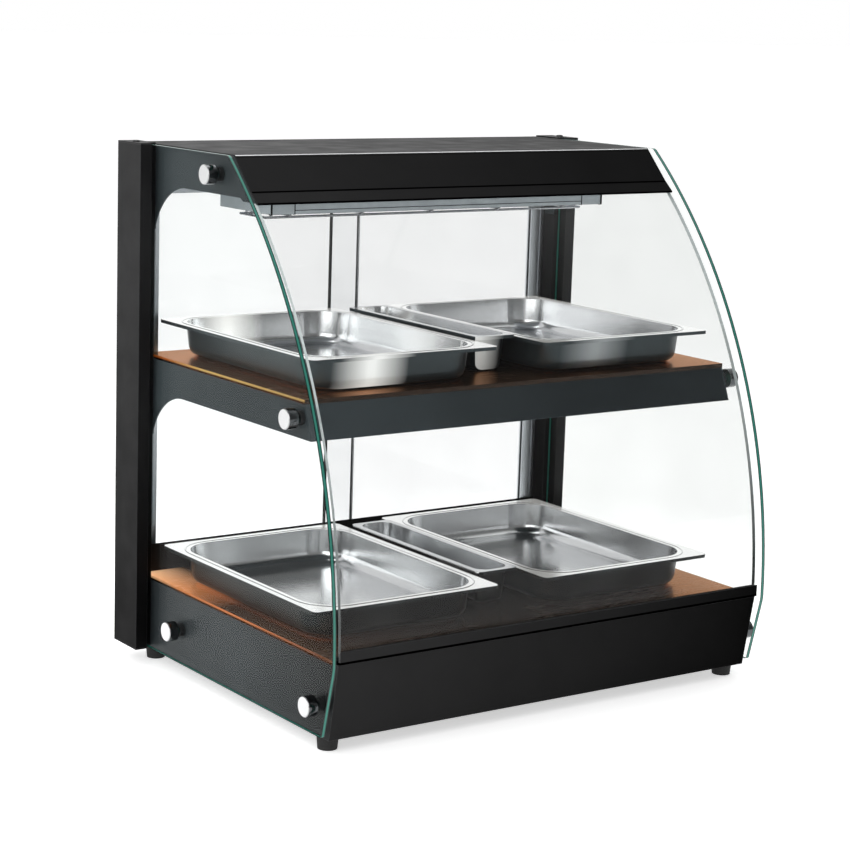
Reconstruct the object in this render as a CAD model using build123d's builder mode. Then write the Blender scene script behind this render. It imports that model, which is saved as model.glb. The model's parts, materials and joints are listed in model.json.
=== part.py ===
from build123d import *
import math
import os

# Hot food display case: two heated levels behind curved front glass, sliding doors at the back.
# Millimetres. X runs to the right as the customer sees it, Y to the back, Z up.
# The origin is on the floor, below the middle of the case.

# ---------------------------------------------------------------- driving dimensions
width = 650.0
depth = 467.0
height = 630.0
sheet = 1.5
deck_thickness = 5.0

rear_y = depth / 2
front_y = -depth / 2
body_half = 299.0
plate_inner = body_half - sheet

# Corner columns
column_outer = width / 2
column_fin_x = 310.0
column_fin_y = 177.0
column_step_y = 188.5
column_bottom = 20.0
column_top = 626.5
cap_thickness = 1.5
screw_dome = height - column_top - cap_thickness

# Side glass
glass = 5.0
glass_outer = 309.5
glass_inner = glass_outer - glass
glass_rear_y = 187.5
glass_top = 626.0
glass_bottom = 21.0
arc_radius = 689.0
arc_centre = (455.5, 106.0)
knee_z = 101.0
toe_y = front_y + 19.0

# Front glass
front_radius = 678.0
front_centre = (447.7, 106.0)
front_glass_top = 580.5
front_glass_bottom = 106.5
front_glass_half = 297.0

# Base
base_bottom = 16.0
base_top = 106.0
fascia_top = (front_y + 4.0, 104.0)
fascia_bottom = (front_y + 19.0, base_bottom)
base_rear = 232.0
flange_rear = front_y + 10.5
lip_height = 15.0
lip_front = front_y + 0.9
lip_wall = 1.5
lip_groove = 6.5
lip_reveal = 1.2

# Middle shelf
shelf_top = 377.0
shelf_bottom = 334.0
shelf_front_top = -150.0
shelf_front_bottom = -165.0
arm_rear = 205.0
arm_arc_start = 115.0
arm_arc_radius = 80.0

# Hood
hood_top_z = 626.5
hood_bottom = 576.5
ceiling_z = 580.0
hood_edge_y = 7.0
crease = (-30.0, 588.5)
hood_lip_y = -44.0
hood_rear = 232.0

# Radiant heater under the hood
heater_half = 240.0
heater_cap = 31.0
heater_front = 22.0
heater_rear = 138.0
heater_bottom = 556.5
heater_sheet = 1.2
tube_radius = 5.5
tube_z = 566.0
guard_z = 550.5
guard_wire = 1.5
guard_pitch = 100.0

# Sliding doors: the right-hand door runs in the inner groove, the left-hand one in the outer
pane = 4.0
groove = 6.0
inner_door_y = 212.0
outer_door_y = 222.0
track_front = 206.5
track_rear = 227.5
track_height = 14.0
upstand_height = 34.0
door_edge = 296.0
left_door_end = 10.0
right_door_end = -36.0
door_bottom = 108.6
door_top = 572.0
handle_width = 20.0
handle_depth = 8.0
seal_width = 1.5

# Glass pins: (Y, Z) on each side glass
pin_places = [(35.0, 603.0), (-145.0, 357.0), (110.0, 58.0), (-197.0, 53.0)]
pin_radius = 11.5
pin_head = 12.0
pin_shank = 4.0
spacer_radius = 8.0

# Serving pans and troughs
pan_width = 250.0
pan_length = 344.0
pan_depth = 40.0
pan_wall = 1.0
pan_rim = 13.0
pan_corner = 42.0
rim_drop = 4.0
trough_width = 58.0
trough_length = 272.0
trough_depth = 43.0
trough_rim = 6.0
trough_corner = 16.0
upper_pan_x = (-160.0, 156.0)
lower_pan_x = (-167.0, 149.0)
upper_trough_x = 0.0
lower_trough_x = -8.0
upper_pan_front = -142.0
lower_pan_front = -170.0
upper_trough_front = -90.0
lower_trough_front = -122.0
rest_gap = 0.2

# Controls in a recess of the rear panel
recess_x = (70.0, 240.0)
recess_z = (31.0, 87.0)
recess_floor = 212.0
knob_x = 206.0
control_z = 59.0
knob_radius = 18.0
knob_height = 16.0
shaft_radius = 3.0
rocker_x = [90.0, 122.0]
rocker_size = (14.0, 24.0)
rocker_tilt = 7.0
lamp_x = 158.0
lamp_radius = 6.0
inlet_x = -200.0
inlet_size = (32.0, 26.0)

# Feet
foot_x = 286.0
foot_front_y = -192.0
foot_rear_y = 198.0
foot_radius = 12.5
foot_base_radius = 11.0


# ---------------------------------------------------------------- helpers
def save(piece, name):
    """Label one finished piece and write it as its own STEP file."""
    piece.part.label = name
    export_step(piece.part, f"parts/{name}.step")


def at_x(x):
    """Plane across the case at X, drawn in Y and Z."""
    return Plane.YZ.offset(x)


def at_y(y):
    """Plane along the case at Y, drawn in X and Z."""
    return Plane.XZ.offset(-y)


def at_z(z):
    """Level plane at height Z, drawn in X and Y."""
    return Plane.XY.offset(z)


def block(x, y, z, mode=Mode.ADD):
    """Straight-sided block between pairs of limits."""
    with BuildSketch(at_z(z[0])) as outline:
        with Locations(((x[0] + x[1]) / 2, (y[0] + y[1]) / 2)):
            Rectangle(x[1] - x[0], y[1] - y[0])
    extrude(outline.sketch, amount=z[1] - z[0], mode=mode)


def folded(points, thickness):
    """Closed outline of a folded sheet: points on its outer face, metal to the right of them."""
    normals = []
    for start, end in zip(points[:-1], points[1:]):
        run = math.hypot(end[0] - start[0], end[1] - start[1])
        normals.append(((end[1] - start[1]) / run, (start[0] - end[0]) / run))
    inner = []
    for index, point in enumerate(points):
        before = normals[max(index - 1, 0)]
        after = normals[min(index, len(normals) - 1)]
        reach = thickness / (1 + before[0] * after[0] + before[1] * after[1])
        inner.append((point[0] + reach * (before[0] + after[0]), point[1] + reach * (before[1] + after[1])))
    return points + inner[::-1] + [points[0]]


def arc_y(centre, radius, z):
    """Y of a front arc at height z."""
    return centre[0] - math.sqrt(radius**2 - (z - centre[1]) ** 2)


def fascia_y(z):
    """Y of the base's sloping front at height z."""
    share = (z - fascia_bottom[1]) / (fascia_top[1] - fascia_bottom[1])
    return fascia_bottom[0] + share * (fascia_top[0] - fascia_bottom[0])


def pin_holes(side, places):
    """Clearance holes for the glass pins through a side plate or a side glass."""
    with BuildSketch(at_x(side * (body_half - 3 * sheet))) as outline:
        with Locations(*places):
            Circle(pin_shank + 0.4)
    extrude(outline.sketch, amount=side * 20, mode=Mode.SUBTRACT)


# ---------------------------------------------------------------- base
def base_shell():
    """Sides, sloping front and top flange, folded from one sheet."""
    with BuildPart() as shell:
        with BuildSketch(at_x(-body_half)):
            with BuildLine():
                Polyline(
                    fascia_top,
                    fascia_bottom,
                    (base_rear, base_bottom),
                    (base_rear, base_top - deck_thickness),
                    (flange_rear, base_top - deck_thickness),
                    (flange_rear, fascia_top[1]),
                    close=True,
                )
            make_face()
        extrude(amount=2 * body_half)
        with BuildSketch(at_x(-plate_inner)):
            with BuildLine():
                Polyline(
                    (fascia_y(fascia_top[1] - sheet) + sheet, fascia_top[1] - sheet),
                    (fascia_y(base_bottom - 10) + sheet, base_bottom - 10),
                    (base_rear + 10, base_bottom - 10),
                    (base_rear + 10, base_top),
                    (flange_rear + sheet, base_top),
                    (flange_rear + sheet, fascia_top[1] - sheet),
                    close=True,
                )
            make_face()
        extrude(amount=2 * plate_inner, mode=Mode.SUBTRACT)
        for side in (-1, 1):
            pin_holes(side, pin_places[2:])
    return shell


def base_bottom_plate():
    """Floor of the base, with holes for the foot studs."""
    with BuildPart() as plate:
        front = fascia_y(base_bottom) + 2 * sheet
        block((-plate_inner, plate_inner), (front, base_rear - sheet), (base_bottom, base_bottom + sheet))
        with BuildSketch(at_z(base_bottom)):
            with Locations(*foot_places()):
                Circle(3.2)
        extrude(amount=sheet, mode=Mode.SUBTRACT)
    return plate


def base_rear_panel():
    """Back of the base: recess cut-out, inlet cut-out and two rows of vent slots."""
    middle_z = (recess_z[0] + recess_z[1]) / 2
    with BuildPart() as panel:
        low = base_bottom + sheet
        high = base_top - deck_thickness
        block((-plate_inner, plate_inner), (base_rear - sheet, base_rear), (low, high))
        with BuildSketch(at_y(base_rear)):
            with Locations(((recess_x[0] + recess_x[1]) / 2, middle_z)):
                Rectangle(recess_x[1] - recess_x[0], recess_z[1] - recess_z[0])
            with Locations((inlet_x, control_z)):
                Rectangle(*inlet_size)
            with Locations((-75, middle_z)):
                with GridLocations(9, 34, 12, 2):
                    SlotOverall(26, 3.2, rotation=90)
        extrude(amount=sheet, mode=Mode.SUBTRACT)
    return panel


def control_recess():
    """Pressed tray that keeps the knob and the switches inside the case's outline."""
    middle_x = (recess_x[0] + recess_x[1]) / 2
    middle_z = (recess_z[0] + recess_z[1]) / 2
    size_x = recess_x[1] - recess_x[0]
    size_z = recess_z[1] - recess_z[0]
    with BuildPart() as tray:
        with BuildSketch(at_y(base_rear)):
            with Locations((middle_x, middle_z)):
                Rectangle(size_x, size_z)
        extrude(amount=base_rear - recess_floor + sheet)
        with BuildSketch(at_y(base_rear)):
            with Locations((middle_x, middle_z)):
                RectangleRounded(size_x - 2 * sheet, size_z - 2 * sheet, 4)
        extrude(amount=base_rear - recess_floor, mode=Mode.SUBTRACT)
        with BuildSketch(at_y(recess_floor)):
            with Locations((knob_x, control_z)):
                Circle(shaft_radius + 0.6)
            with Locations((lamp_x, control_z)):
                Circle(lamp_radius - 1)
            for x in rocker_x:
                with Locations((x, control_z)):
                    Rectangle(rocker_size[0] + 2, rocker_size[1] + 2)
        extrude(amount=sheet, mode=Mode.SUBTRACT)
    return tray


def base_deck():
    """Polished heated plate of the lower level."""
    with BuildPart() as deck:
        front = lip_front + 2 * lip_wall + lip_groove + 0.4
        block((-body_half, body_half), (front, base_rear), (base_top - deck_thickness, base_top))
    return deck


def heating_mat(x, y, top):
    """Flat silicone heating mat bonded under a deck plate."""
    with BuildPart() as mat:
        block((-x, x), y, (top - 3, top))
    return mat


def glass_lip():
    """Channel along the front of the base that holds the curved glass."""
    low = fascia_top[1]
    back = lip_front + lip_wall + lip_groove
    seat = fascia_top[0] + sheet
    with BuildPart() as lip:
        with BuildSketch(at_x(-body_half)):
            with BuildLine():
                Polyline(
                    (seat, low),
                    (seat, low + lip_reveal),
                    (lip_front, low + lip_reveal),
                    (lip_front, low + lip_height),
                    (lip_front + lip_wall, low + lip_height),
                    (lip_front + lip_wall, low + 2),
                    (back, low + 2),
                    (back, low + 8),
                    (back + lip_wall, low + 8),
                    (back + lip_wall, low),
                    close=True,
                )
            make_face()
        extrude(amount=2 * body_half)
    return lip


def foot_places():
    """Centres of the four feet, front left first."""
    return [(-foot_x, foot_front_y), (foot_x, foot_front_y), (-foot_x, foot_rear_y), (foot_x, foot_rear_y)]


def foot(place):
    """Tapered rubber foot with its stud through the floor of the base."""
    with BuildPart() as piece:
        with BuildSketch(at_z(0)):
            with Locations(place):
                Circle(foot_base_radius)
        with BuildSketch(at_z(base_bottom)):
            with Locations(place):
                Circle(foot_radius)
        loft()
        with BuildSketch(at_z(base_bottom)):
            with Locations(place):
                Circle(2.9)
        extrude(amount=8)
    return piece


# ---------------------------------------------------------------- controls
def thermostat_body():
    """Thermostat behind the recess, with a bore for its turning shaft."""
    with BuildPart() as body:
        block((knob_x - 16, knob_x + 16), (182, recess_floor - sheet), (control_z - 16, control_z + 16))
        with BuildSketch(at_y(recess_floor)):
            with Locations((knob_x, control_z)):
                Circle(shaft_radius + 0.05)
        extrude(amount=22, mode=Mode.SUBTRACT)
    return body


def thermostat_shaft():
    """Turning shaft of the thermostat."""
    with BuildPart() as shaft:
        with BuildSketch(at_y(recess_floor + 12)):
            with Locations((knob_x, control_z)):
                Circle(shaft_radius)
        extrude(amount=32)
    return shaft


def thermostat_knob():
    """Round knob with a raised grip bar and a blind hole for the shaft."""
    base = recess_floor + 1
    with BuildPart() as knob:
        with BuildSketch(at_y(base)):
            with Locations((knob_x, control_z)):
                Circle(knob_radius)
        extrude(amount=-5)
        with BuildSketch(at_y(base + 5)):
            with Locations((knob_x, control_z)):
                Circle(knob_radius - 3.5)
        extrude(amount=-(knob_height - 5), taper=4)
        with BuildSketch(at_y(base)):
            with Locations((knob_x, control_z)):
                Circle(shaft_radius)
        extrude(amount=-11, mode=Mode.SUBTRACT)
        with BuildSketch(at_y(base + 8)):
            with Locations((knob_x - 11.5, control_z), (knob_x + 11.5, control_z)):
                Rectangle(9, 40)
        extrude(amount=-20, mode=Mode.SUBTRACT)
    return knob


def rocker_frames():
    """Snap-in frames of the two rocker switches."""
    with BuildPart() as frames:
        for x in rocker_x:
            with BuildSketch(at_y(recess_floor)):
                with Locations((x, control_z)):
                    RectangleRounded(rocker_size[0] + 5, rocker_size[1] + 5, 1.5)
                    Rectangle(rocker_size[0] + 0.6, rocker_size[1] + 1.4, mode=Mode.SUBTRACT)
            extrude(amount=-2)
            with BuildSketch(at_y(recess_floor)):
                with Locations((x, control_z)):
                    Rectangle(rocker_size[0] + 2, rocker_size[1] + 2)
                    Rectangle(rocker_size[0] + 0.6, rocker_size[1] + 1.4, mode=Mode.SUBTRACT)
            extrude(amount=14)
            block(
                (x - rocker_size[0] / 2 - 1, x + rocker_size[0] / 2 + 1),
                (recess_floor - 16, recess_floor - 14),
                (control_z - rocker_size[1] / 2 - 1, control_z + rocker_size[1] / 2 + 1),
            )
    return frames


def rocker(x):
    """Rocker in its off position: tilted about a level axis just behind the recess floor."""
    tilt = math.radians(rocker_tilt)
    tilted = Plane(
        origin=(x - rocker_size[0] / 2, recess_floor - 2, control_z),
        x_dir=(0, math.cos(tilt), math.sin(tilt)),
        z_dir=(1, 0, 0),
    )
    half = rocker_size[1] / 2
    with BuildPart() as piece:
        with BuildSketch(tilted):
            with BuildLine():
                Polyline((-7, -5), (-7, 5), (1.5, half - 0.6), (5.2, half - 0.6))
                ThreePointArc((5.2, half - 0.6), (3.6, 0), (5.2, 0.6 - half))
                Polyline((5.2, 0.6 - half), (1.5, 0.6 - half), (-7, -5))
            make_face()
        extrude(amount=rocker_size[0])
    return piece


def pilot_lamp():
    """Round pilot lamp with a domed lens."""
    with BuildPart() as lamp:
        with BuildSketch(at_y(recess_floor)):
            with Locations((lamp_x, control_z)):
                Circle(lamp_radius)
        extrude(amount=-3)
        fillet(lamp.faces().sort_by(Axis.Y)[-1].edges(), 2)
        with BuildSketch(at_y(recess_floor)):
            with Locations((lamp_x, control_z)):
                Circle(lamp_radius - 1.1)
        extrude(amount=16)
    return lamp


def power_inlet():
    """Panel inlet for a detachable lead: an open socket with three blades."""
    with BuildPart() as inlet:
        with BuildSketch(at_y(base_rear)):
            with Locations((inlet_x, control_z)):
                Rectangle(inlet_size[0] - 0.4, inlet_size[1] - 0.4)
        extrude(amount=26)
        with BuildSketch(at_y(base_rear)):
            with Locations((inlet_x, control_z)):
                RectangleRounded(25, 17, 3)
        extrude(amount=18, mode=Mode.SUBTRACT)
        with BuildSketch(at_y(base_rear - 18)):
            for x, z in ((-7, -2), (0, 2), (7, -2)):
                with Locations((inlet_x + x, control_z + z)):
                    Rectangle(2, 5)
        extrude(amount=-9)
    return inlet


# ---------------------------------------------------------------- columns
def column_outline(grow=0.0):
    """Right-hand column section: a box with a rebate for the rear edge of the side glass."""
    Polyline(
        (body_half - grow, column_step_y - grow),
        (column_fin_x - grow, column_step_y - grow),
        (column_fin_x - grow, column_fin_y - grow),
        (column_outer + grow, column_fin_y - grow),
        (column_outer + grow, rear_y + grow),
        (body_half - grow, rear_y + grow),
        close=True,
    )


def column(side):
    """Hollow corner column."""
    with BuildPart() as post:
        with BuildSketch(at_z(column_bottom)):
            with BuildLine():
                column_outline()
            make_face()
            with BuildLine():
                column_outline(-sheet)
            make_face(mode=Mode.SUBTRACT)
            if side < 0:
                mirror(about=Plane.YZ, mode=Mode.REPLACE)
        extrude(amount=column_top - column_bottom)
    return post


def column_caps():
    """End caps of both columns, with screw holes in the upper ones."""
    with BuildPart() as caps:
        for side in (-1, 1):
            for low in (column_bottom - cap_thickness, column_top):
                with BuildSketch(at_z(low)):
                    with BuildLine():
                        column_outline()
                    make_face()
                    if low > column_bottom:
                        with Locations(screw_place()):
                            Circle(2.1, mode=Mode.SUBTRACT)
                    if side < 0:
                        mirror(about=Plane.YZ, mode=Mode.REPLACE)
                extrude(amount=cap_thickness)
    return caps


def screw_place():
    """Centre of the right-hand column's cap screw."""
    return (column_outer - 9, 205.0)


def column_screws():
    """Domed screws in the column caps."""
    x, y = screw_place()
    top = column_top + cap_thickness
    with BuildPart() as screws:
        for side in (-1, 1):
            with BuildSketch(at_z(top)):
                with Locations((side * x, y)):
                    Circle(4.6)
            extrude(amount=screw_dome)
            with BuildSketch(at_z(top)):
                with Locations((side * x, y)):
                    Circle(2)
            extrude(amount=-9)
        fillet(screws.edges().filter_by(GeomType.CIRCLE).group_by(Axis.Z)[-1], screw_dome * 0.8)
    return screws


# ---------------------------------------------------------------- hood
def hood_shell():
    """Top and creased front, folded from one sheet."""
    outer = [(hood_lip_y, hood_bottom), crease, (hood_edge_y, hood_top_z), (hood_rear, hood_top_z)]
    with BuildPart() as shell:
        with BuildSketch(at_x(-body_half)):
            with BuildLine():
                Polyline(*folded(outer, sheet))
            make_face()
        extrude(amount=2 * body_half)
    return shell


def hood_side(side):
    """Hood end plate with the curved arm that runs down to the column."""
    arc_foot = column_step_y
    drop = arm_arc_radius - math.sqrt(arm_arc_radius**2 - (arc_foot - arm_arc_start) ** 2)
    turn = math.radians(35)
    middle = (
        arm_arc_start + arm_arc_radius * math.sin(turn),
        ceiling_z - arm_arc_radius * (1 - math.cos(turn)),
    )
    with BuildPart() as plate:
        with BuildSketch(at_x(side * body_half)):
            with BuildLine():
                Polyline(
                    (arm_arc_start, ceiling_z),
                    (-8, ceiling_z),
                    (-14, hood_bottom),
                    (hood_lip_y + 2.6, hood_bottom),
                    (crease[0] + 2.4, crease[1]),
                    (hood_edge_y + 0.9, hood_top_z - sheet),
                    (arm_rear, hood_top_z - sheet),
                    (arm_rear, ceiling_z - drop - 5),
                    (arc_foot, ceiling_z - drop - 5),
                    (arc_foot, ceiling_z - drop),
                )
                ThreePointArc((arc_foot, ceiling_z - drop), middle, (arm_arc_start, ceiling_z))
            make_face()
        extrude(amount=-side * sheet)
        pin_holes(side, pin_places[:1])
    return plate


def hood_ceiling():
    """Underside of the hood."""
    with BuildPart() as sheet_part:
        block((-plate_inner, plate_inner), (-7, hood_rear - sheet), (ceiling_z, ceiling_z + sheet))
    return sheet_part


def hood_rear_panel():
    """Back of the hood, with vent slots."""
    with BuildPart() as panel:
        low = ceiling_z - 3
        high = hood_top_z - sheet
        block((-plate_inner, plate_inner), (hood_rear - sheet, hood_rear), (low, high))
        with BuildSketch(at_y(hood_rear)):
            with Locations((0, (ceiling_z + hood_top_z) / 2)):
                with GridLocations(9, 20, 24, 1):
                    SlotOverall(24, 3.2, rotation=90)
        extrude(amount=sheet, mode=Mode.SUBTRACT)
    return panel


# ---------------------------------------------------------------- radiant heater
def heater_reflector():
    """Trough of bright sheet, open below, with leaning inner walls."""
    half = heater_half - heater_cap
    outer = [
        (heater_front, heater_bottom),
        (heater_front, ceiling_z),
        (heater_rear, ceiling_z),
        (heater_rear, heater_bottom),
    ]
    with BuildPart() as reflector:
        with BuildSketch(at_x(-half)):
            with BuildLine():
                Polyline(*folded(outer, heater_sheet))
            make_face()
            for wall, lean in ((heater_front, 1), (heater_rear, -1)):
                with BuildLine():
                    Polyline(
                        (wall, heater_bottom),
                        (wall + lean * 26, ceiling_z - heater_sheet),
                        (wall + lean * 24, ceiling_z - heater_sheet),
                        (wall, heater_bottom + 2),
                        close=True,
                    )
                make_face()
        extrude(amount=2 * half)
    return reflector


def heater_end_caps():
    """Housings over the lamp sockets at both ends of the reflector."""
    with BuildPart() as caps:
        for side in (-1, 1):
            outer = side * heater_half
            inner = side * (heater_half - heater_cap)
            low, high = min(outer, inner), max(outer, inner)
            block((low, high), (heater_front, heater_rear), (heater_bottom, ceiling_z))
            block(
                (low + heater_sheet, high - heater_sheet),
                (heater_front + heater_sheet, heater_rear - heater_sheet),
                (heater_bottom + heater_sheet, ceiling_z - heater_sheet),
                mode=Mode.SUBTRACT,
            )
            with BuildSketch(at_x(inner)):
                with Locations(*tube_places()):
                    Circle(tube_radius + 0.5)
            extrude(amount=side * heater_sheet, mode=Mode.SUBTRACT)
    return caps


def tube_places():
    """Centres of the two quartz tubes in Y and Z."""
    middle = (heater_front + heater_rear) / 2
    return [(middle - 20, tube_z), (middle + 20, tube_z)]


def heater_tubes():
    """Two quartz tubes."""
    half = heater_half - heater_cap + 8
    with BuildPart() as tubes:
        with BuildSketch(at_x(-half)):
            with Locations(*tube_places()):
                Circle(tube_radius)
        extrude(amount=2 * half)
    return tubes


def heater_guard():
    """Welded wire guard below the tubes: two long wires, cross wires and four hangers."""
    middle = (heater_front + heater_rear) / 2
    long_y = [middle - 28, middle + 28]
    half = heater_half - 10
    with BuildPart() as guard:
        with BuildSketch(at_x(-half)):
            with Locations(*[(y, guard_z) for y in long_y]):
                Circle(guard_wire)
        extrude(amount=2 * half)
        with BuildSketch(at_y(long_y[0] - 6)):
            with Locations((0, guard_z + 2 * guard_wire - 0.6)):
                with GridLocations(guard_pitch, 1, 5, 1):
                    Circle(guard_wire)
        extrude(amount=-(long_y[1] - long_y[0] + 12))
        with BuildSketch(at_y(long_y[0])):
            with Locations((0, guard_z)):
                with GridLocations(2 * half, 1, 2, 1):
                    Circle(guard_wire)
        extrude(amount=-(long_y[1] - long_y[0]))
        with BuildSketch(at_z(guard_z)):
            for y in long_y:
                with Locations((-half + 8, y), (half - 8, y)):
                    Circle(guard_wire)
        extrude(amount=heater_bottom - guard_z)
    return guard


# ---------------------------------------------------------------- middle shelf
def shelf_tray():
    """Front, floor and back of the shelf, folded from one sheet."""
    under_deck = shelf_top - deck_thickness
    outer = [
        (arm_rear, under_deck),
        (arm_rear, shelf_bottom),
        (shelf_front_bottom, shelf_bottom),
        (shelf_front_top, under_deck),
    ]
    with BuildPart() as tray:
        with BuildSketch(at_x(-plate_inner)):
            with BuildLine():
                Polyline(*folded(outer, sheet))
            make_face()
        extrude(amount=2 * plate_inner)
    return tray


def shelf_side(side):
    """Shelf end plate with the curved arm that runs down to the column."""
    under_deck = shelf_top - deck_thickness
    arc_foot = column_step_y
    drop = arm_arc_radius - math.sqrt(arm_arc_radius**2 - (arc_foot - arm_arc_start) ** 2)
    turn = math.radians(35)
    middle = (
        arm_arc_start + arm_arc_radius * math.sin(turn),
        shelf_bottom - arm_arc_radius * (1 - math.cos(turn)),
    )
    with BuildPart() as plate:
        with BuildSketch(at_x(side * body_half)):
            with BuildLine():
                Polyline(
                    (arm_arc_start, shelf_bottom),
                    (shelf_front_bottom, shelf_bottom),
                    (shelf_front_top, under_deck),
                    (arm_rear, under_deck),
                    (arm_rear, shelf_bottom - drop - 5),
                    (arc_foot, shelf_bottom - drop - 5),
                    (arc_foot, shelf_bottom - drop),
                )
                ThreePointArc((arc_foot, shelf_bottom - drop), middle, (arm_arc_start, shelf_bottom))
            make_face()
        extrude(amount=-side * sheet)
        pin_holes(side, pin_places[1:2])
    return plate


def shelf_deck():
    """Polished heated plate of the upper level."""
    with BuildPart() as deck:
        low = shelf_top - deck_thickness
        block((-body_half, body_half), (shelf_front_top - 0.5, arm_rear), (low, shelf_top))
    return deck


# ---------------------------------------------------------------- glass
def side_glass(side):
    """Flat side pane with a curved front edge."""
    with BuildPart() as pane_part:
        with BuildSketch(at_x(side * glass_inner)):
            with BuildLine():
                top_front = (arc_y(arc_centre, arc_radius, glass_top), glass_top)
                knee = (arc_y(arc_centre, arc_radius, knee_z), knee_z)
                middle = (arc_y(arc_centre, arc_radius, 400), 400)
                ThreePointArc(top_front, middle, knee)
                Polyline(
                    knee,
                    (toe_y, glass_bottom),
                    (glass_rear_y, glass_bottom),
                    (glass_rear_y, glass_top),
                    top_front,
                )
            make_face()
        extrude(amount=side * glass)
        upright = pane_part.edges().filter_by(Axis.X)
        knee_edge = upright.sort_by(Axis.Y)[0]
        fillet(knee_edge, 45)
        front_corner = pane_part.edges().filter_by(Axis.X).group_by(Axis.Z)[-1].sort_by(Axis.Y)[0]
        fillet(front_corner, 9)
        toe = pane_part.edges().filter_by(Axis.X).group_by(Axis.Z)[0].sort_by(Axis.Y)[0]
        fillet(toe, 3)
        pin_holes(side, pin_places)
    return pane_part


def front_glass():
    """Curved pane between the hood and the lip of the base."""
    inner = front_radius - glass
    middle_z = 350
    outer_top = (arc_y(front_centre, front_radius, front_glass_top), front_glass_top)
    outer_low = (arc_y(front_centre, front_radius, front_glass_bottom), front_glass_bottom)
    inner_top = (arc_y(front_centre, inner, front_glass_top), front_glass_top)
    inner_low = (arc_y(front_centre, inner, front_glass_bottom), front_glass_bottom)
    with BuildPart() as curved:
        with BuildSketch(at_x(-front_glass_half)):
            with BuildLine():
                ThreePointArc(outer_top, (arc_y(front_centre, front_radius, middle_z), middle_z), outer_low)
                Line(outer_low, inner_low)
                ThreePointArc(inner_low, (arc_y(front_centre, inner, middle_z), middle_z), inner_top)
                Line(inner_top, outer_top)
            make_face()
        extrude(amount=2 * front_glass_half)
    return curved


def glass_pins():
    """Eight chrome cap screws that clamp the side glass."""
    with BuildPart() as pins:
        for side in (-1, 1):
            with BuildSketch(at_x(side * glass_outer)):
                with Locations(*pin_places):
                    Circle(pin_radius)
            extrude(amount=side * pin_head)
            with BuildSketch(at_x(side * glass_outer)):
                with Locations(*pin_places):
                    Circle(pin_shank)
            extrude(amount=-side * 19)
            rims = pins.edges().filter_by(GeomType.CIRCLE).group_by(Axis.X)[-1 if side > 0 else 0]
            chamfer(rims, 0.8)
    return pins


def glass_spacers():
    """Rings that hold the side glass off the side plates."""
    with BuildPart() as spacers:
        for side in (-1, 1):
            with BuildSketch(at_x(side * body_half)):
                with Locations(*pin_places):
                    Circle(spacer_radius)
                    Circle(pin_shank + 0.1, mode=Mode.SUBTRACT)
            extrude(amount=side * (glass_inner - body_half))
    return spacers


def pin_nuts():
    """Hexagon nuts of the glass pins, inside the side plates."""
    with BuildPart() as nuts:
        for side in (-1, 1):
            with BuildSketch(at_x(side * plate_inner)):
                with Locations(*pin_places):
                    RegularPolygon(6.5, 6)
                    Circle(pin_shank, mode=Mode.SUBTRACT)
            extrude(amount=-side * 5)
    return nuts


# ---------------------------------------------------------------- sliding doors
def door_track(low, high, open_top):
    """Aluminium rail with two grooves along the back of the case."""
    with BuildPart() as track:
        block((-plate_inner, plate_inner), (track_front, track_rear), (low, high))
        floor = low + 2 if open_top else low
        roof = high if open_top else high - 2
        for y in (inner_door_y, outer_door_y):
            block(
                (-plate_inner, plate_inner),
                (y - groove / 2, y + groove / 2),
                (floor, roof),
                mode=Mode.SUBTRACT,
            )
    return track


def rear_upstand():
    """Black strip in front of the bottom rail; it keeps crumbs out of the grooves."""
    top = base_top + upstand_height
    with BuildPart() as strip:
        block((-plate_inner, plate_inner), (track_front - sheet, track_front), (base_top, top))
    return strip


def door_limits(side):
    """Outer and inner edge of a door pane in X."""
    if side < 0:
        return (-door_edge, left_door_end)
    return (door_edge, right_door_end)


def door_pane(side, y):
    """Clear pane of one door."""
    outer, inner = door_limits(side)
    with BuildPart() as panel:
        block((min(outer, inner), max(outer, inner)), (y - pane / 2, y + pane / 2), (door_bottom, door_top))
    return panel


def door_handle(side, y):
    """Aluminium grip profile slid over the door's outer edge, with a finger rib at its inner end."""
    outer = side * (door_edge + 1)
    inner = side * (door_edge + 1 - handle_width)
    low = base_top + track_height + 3
    high = ceiling_z - track_height - 3
    with BuildPart() as handle:
        block(
            (min(outer, inner), max(outer, inner)),
            (y - handle_depth / 2, y + handle_depth / 2),
            (low, high),
        )
        slot = (side * door_edge, inner - side * 1)
        block((min(slot), max(slot)), (y - pane / 2, y + pane / 2), (low, high), mode=Mode.SUBTRACT)
        for face in (-1, 1):
            centre = (outer + inner) / 2
            edge = y + face * handle_depth / 2
            block(
                (centre - 5, centre + 5),
                (min(edge, edge - face * 0.9), max(edge, edge - face * 0.9)),
                (low, high),
                mode=Mode.SUBTRACT,
            )
    return handle


def door_seal(side, y):
    """Sealing strip on the door's inner edge."""
    inner = door_limits(side)[1]
    outer = inner - side * seal_width
    low = base_top + track_height + 3
    high = ceiling_z - track_height - 3
    with BuildPart() as seal:
        block(
            (min(inner, outer), max(inner, outer)),
            (y - pane / 2 - 0.5, y + pane / 2 + 0.5),
            (low, high),
        )
    return seal


# ---------------------------------------------------------------- pans
def rim_outline(size, corner, place):
    """Rounded rectangle about a place, in the current sketch."""
    with Locations(place):
        RectangleRounded(size[0], size[1], corner)


def tapered_bowl(size, corner, place, top, deep, bend):
    """Solid block with tapering walls and a rounded bottom edge."""
    with BuildPart() as bowl:
        with BuildSketch(at_z(top)):
            rim_outline(size, corner, place)
        extrude(amount=-deep, taper=6)
        fillet(bowl.faces().sort_by(Axis.Z)[0].edges(), bend)
    return bowl


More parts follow.
